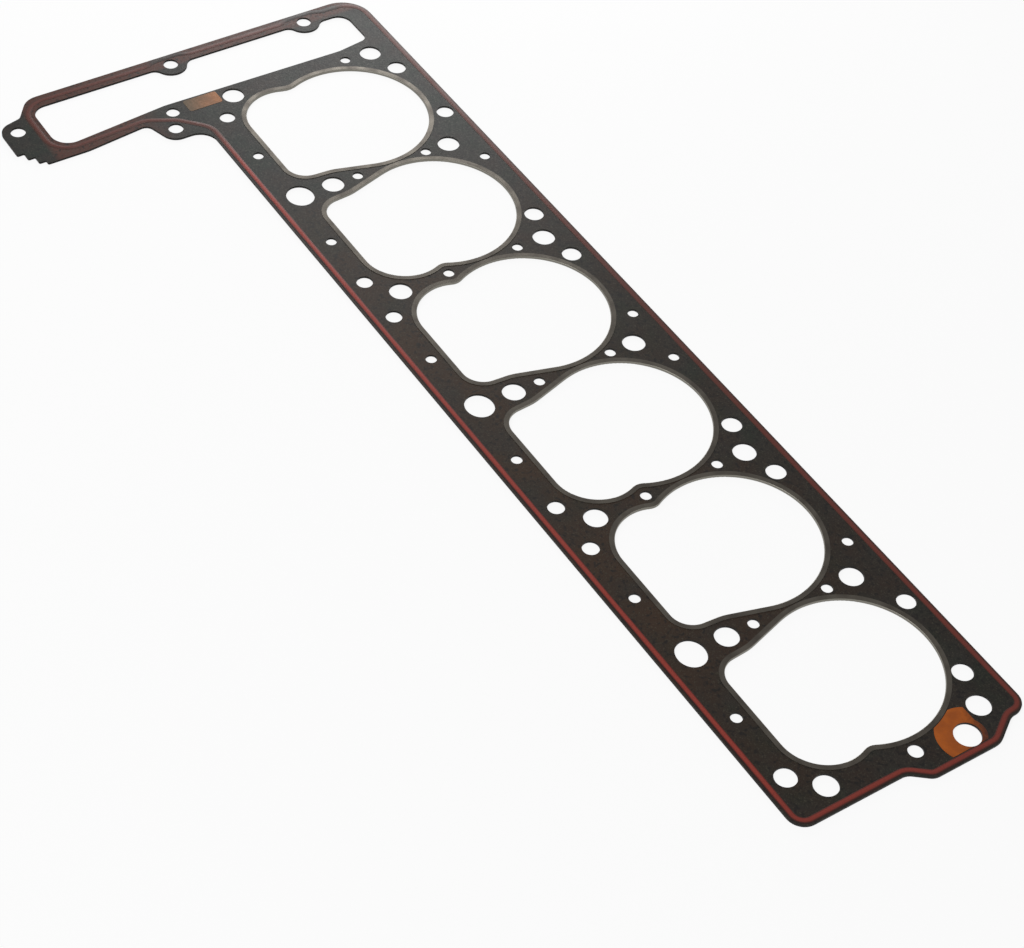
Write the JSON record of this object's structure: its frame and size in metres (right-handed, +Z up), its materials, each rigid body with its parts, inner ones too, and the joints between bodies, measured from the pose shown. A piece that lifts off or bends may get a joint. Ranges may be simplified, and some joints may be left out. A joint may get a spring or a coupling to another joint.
{
  "type": "cylinder head gasket",
  "caption": "Flat dark composite head gasket with D-shaped steel-ringed cylinder openings, a red sealing bead and a chain case arm at its front end.",
  "frame": {"origin": "middle of the gasket's outline box, on the plane of its lowest faces", "axes": "+X along the engine from the chain end at the front to the rear, +Y across it, away from the chain case arm, +Z up, from the block to the head"},
  "size_m": [0.6474, 0.2486, 0.0017],
  "materials": {
    "facing": "satin, finely speckled graphite and fibre facing",
    "ring_steel": "thin folded stainless steel",
    "bead": "printed silicone sealing bead",
    "front_patch": "thin orange-brown sealing coat",
    "rear_patch": "thin brown sealing coat"
  },
  "bodies": {
    "root": {"gasket_body": "facing", "fire_ring_1": "ring_steel", "fire_ring_2": "ring_steel", "fire_ring_3": "ring_steel", "fire_ring_4": "ring_steel", "fire_ring_5": "ring_steel", "fire_ring_6": "ring_steel", "seal_bead_top": "bead", "seal_bead_bottom": "bead", "front_oil_patch_top": "front_patch", "front_oil_patch_bottom": "front_patch", "rear_oil_patch_top": "rear_patch", "rear_oil_patch_bottom": "rear_patch"}
  },
  "joints": []
}
